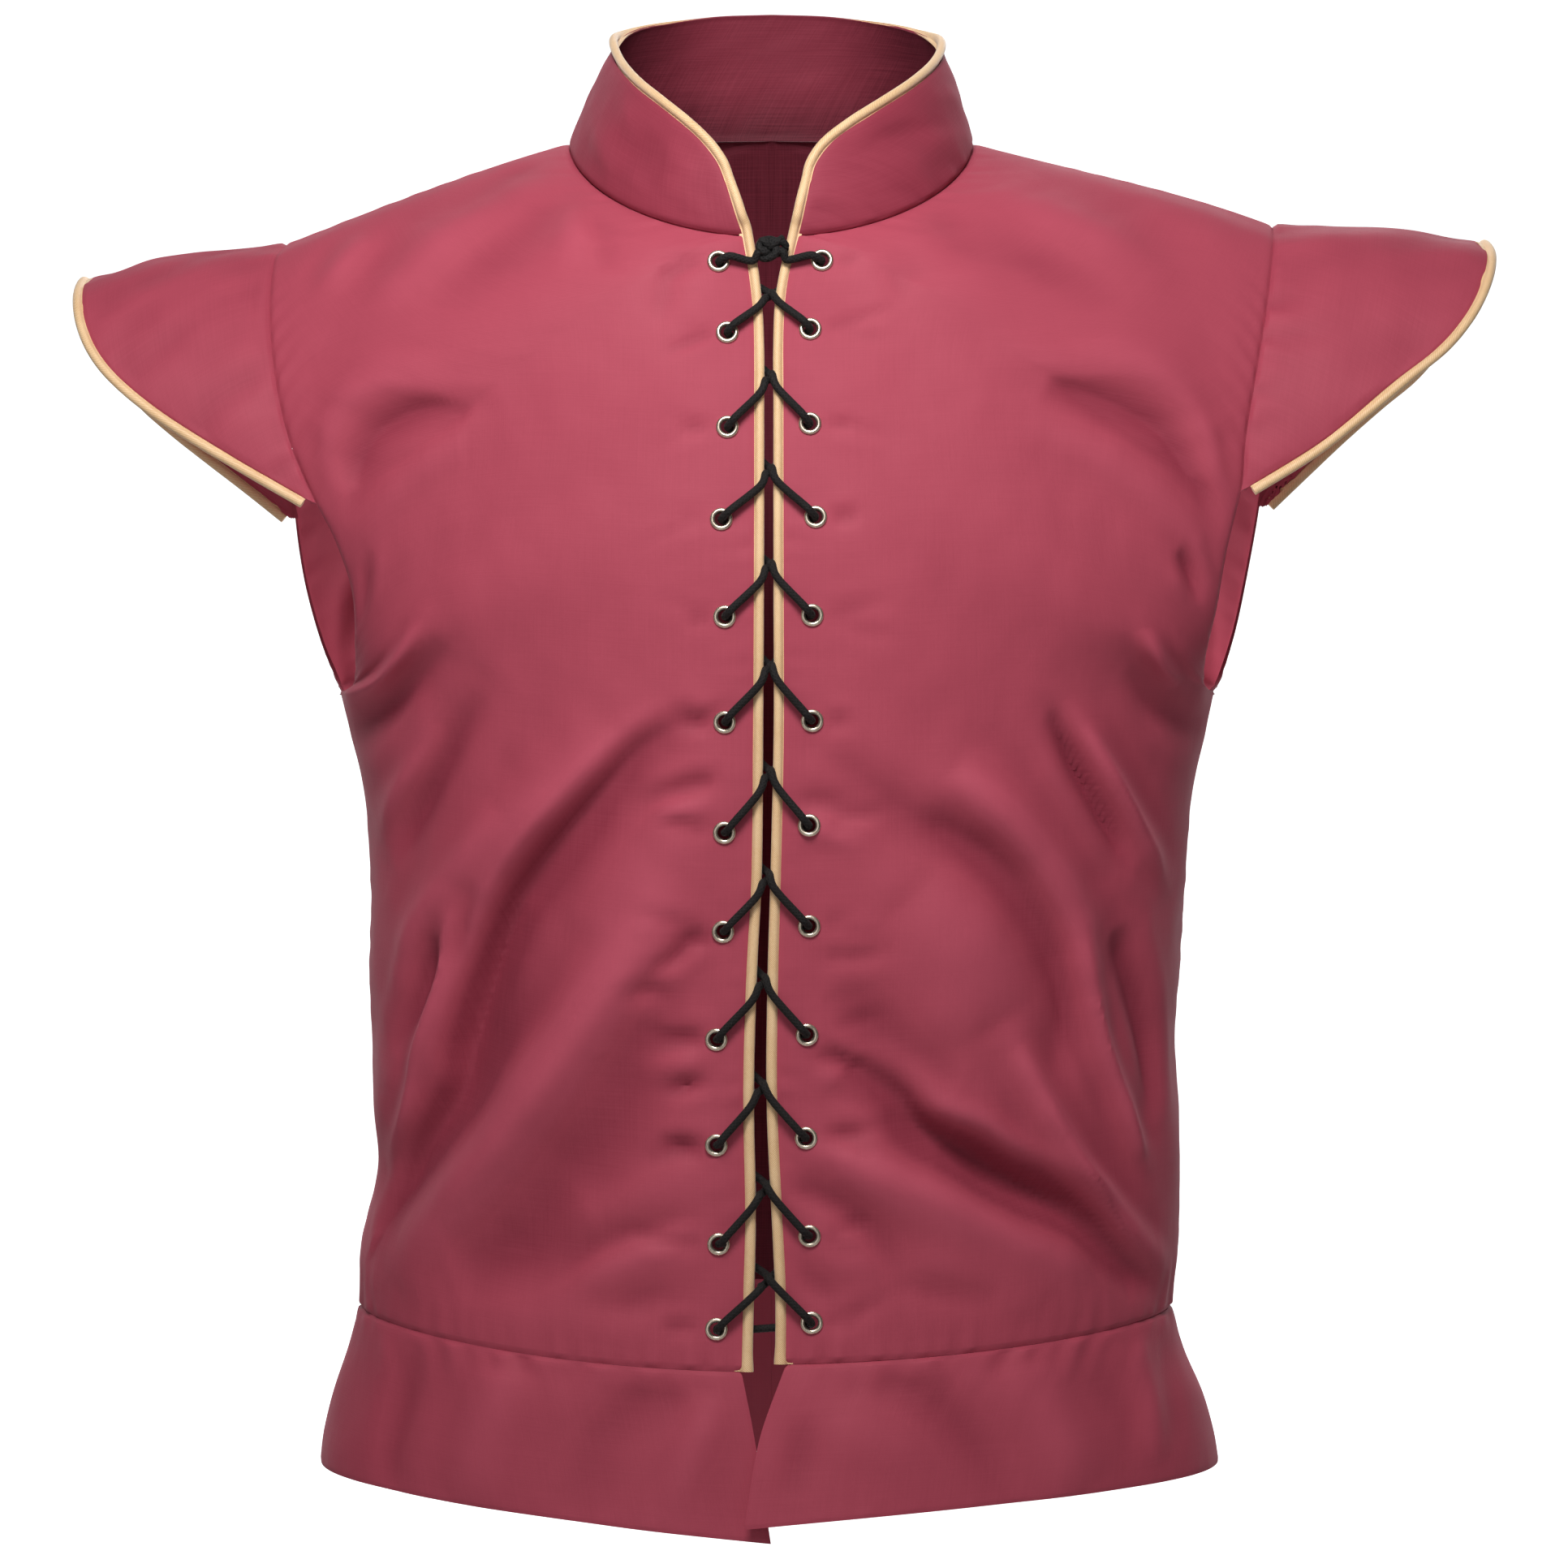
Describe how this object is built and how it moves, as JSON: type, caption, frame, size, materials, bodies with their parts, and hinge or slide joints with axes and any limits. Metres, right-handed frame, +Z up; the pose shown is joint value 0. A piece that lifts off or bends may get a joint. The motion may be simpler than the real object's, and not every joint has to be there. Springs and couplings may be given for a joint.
{
  "type": "sleeveless doublet",
  "caption": "Sleeveless laced doublet with standing collar, shoulder wings and a short flared peplum, piped along its edges, hollow as worn.",
  "frame": {"origin": "middle of the neck base, level with the shoulder seams beside the collar, where the wearer's shoulders hold it", "axes": "+Z up towards the collar, -Y to the front, +X towards the wearer's left"},
  "size_m": [0.6941, 0.2725, 0.7446],
  "materials": {
    "cloth": "smooth woven cloth with a soft sheen",
    "piping": "fine satin woven round a cord",
    "eyelet": "pale nickel",
    "lace": "braided cord"
  },
  "bodies": {
    "root": {"front_right": "cloth", "front_left": "cloth", "back": "cloth", "collar": "cloth", "wing_right": "cloth", "wing_left": "cloth", "peplum_front_right": "cloth", "peplum_front_left": "cloth", "peplum_back": "cloth", "piping_edge": "piping", "piping_wing_right": "piping", "piping_wing_left": "piping", "eyelet_right_01": "eyelet", "eyelet_right_02": "eyelet", "eyelet_right_03": "eyelet", "eyelet_right_04": "eyelet", "eyelet_right_05": "eyelet", "eyelet_right_06": "eyelet", "eyelet_right_07": "eyelet", "eyelet_right_08": "eyelet", "eyelet_right_09": "eyelet", "eyelet_right_10": "eyelet", "eyelet_right_11": "eyelet", "eyelet_right_12": "eyelet", "eyelet_left_01": "eyelet", "eyelet_left_02": "eyelet", "eyelet_left_03": "eyelet", "eyelet_left_04": "eyelet", "eyelet_left_05": "eyelet", "eyelet_left_06": "eyelet", "eyelet_left_07": "eyelet", "eyelet_left_08": "eyelet", "eyelet_left_09": "eyelet", "eyelet_left_10": "eyelet", "eyelet_left_11": "eyelet", "eyelet_left_12": "eyelet", "lace": "lace", "lace_knot": "lace"}
  },
  "joints": []
}
